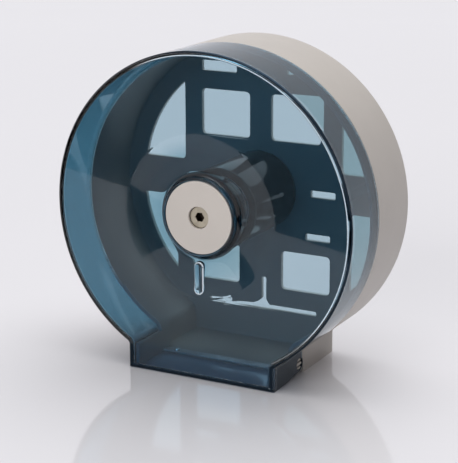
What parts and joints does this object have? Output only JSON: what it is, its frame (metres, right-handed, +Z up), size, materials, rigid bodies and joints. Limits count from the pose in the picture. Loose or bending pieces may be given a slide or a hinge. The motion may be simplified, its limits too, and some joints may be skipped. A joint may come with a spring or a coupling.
{
  "type": "jumbo tissue dispenser",
  "caption": "Round wall dispenser for a jumbo tissue roll: drum housing on a foot, tinted clear cover hinged at the foot with a hex-key lock, toothed tear bar and turning roll spool.",
  "frame": {"origin": "on the surface that the foot stands on, under the middle of the bounding box", "axes": "+Z up, +Y towards the wall that the housing's back plate lies on, +X to the viewer's right when looking at the front cover"},
  "size_m": [0.27, 0.1164, 0.2735],
  "materials": {
    "beige_plastic": "satin moulded ABS, warm light grey",
    "tinted_clear_plastic": "clear moulded plastic with a blue-grey tint, polished",
    "dark_plastic": "glossy black moulded plastic",
    "grey_plastic": "plain moulded plastic",
    "white_nylon": "plain nylon",
    "zinc_steel": "zinc plated",
    "lock_metal": "cast zinc with a dull warm face"
  },
  "bodies": {
    "base": {"rear_housing": "beige_plastic", "spindle_post": "grey_plastic", "post_screw_1": "zinc_steel", "post_screw_2": "zinc_steel", "post_screw_3": "zinc_steel", "lock_keeper": "zinc_steel", "keeper_screw_lower": "zinc_steel", "keeper_screw_upper": "zinc_steel", "spool_retaining_ring": "zinc_steel", "tear_bar": "zinc_steel", "tear_bar_screw_left": "zinc_steel", "tear_bar_screw_right": "zinc_steel"},
    "cover": {"front_cover": "tinted_clear_plastic", "lock_cap": "beige_plastic"},
    "lock": {"lock_barrel": "lock_metal", "lock_clip": "zinc_steel", "lock_cam": "zinc_steel", "cam_screw": "zinc_steel"},
    "spool": {"roll_spool": "dark_plastic", "spool_bush_front": "white_nylon", "spool_bush_rear": "white_nylon"}
  },
  "joints": [
    {"name": "cover_hinge", "type": "hinge", "parent": "base", "child": "cover", "pos_m": [0, -0.00945, 0.0094], "axis": [1, 0, 0], "range_deg": [0, 95]},
    {"name": "lock_turn", "type": "hinge", "parent": "cover", "child": "lock", "pos_m": [0, -0.05825, 0.1385], "axis": [0, 1, 0], "range_deg": [0, 90]},
    {"name": "spool_spin", "type": "hinge", "parent": "base", "child": "spool", "pos_m": [0, -0.02025, 0.1385], "axis": [0, 1, 0], "continuous": true}
  ]
}
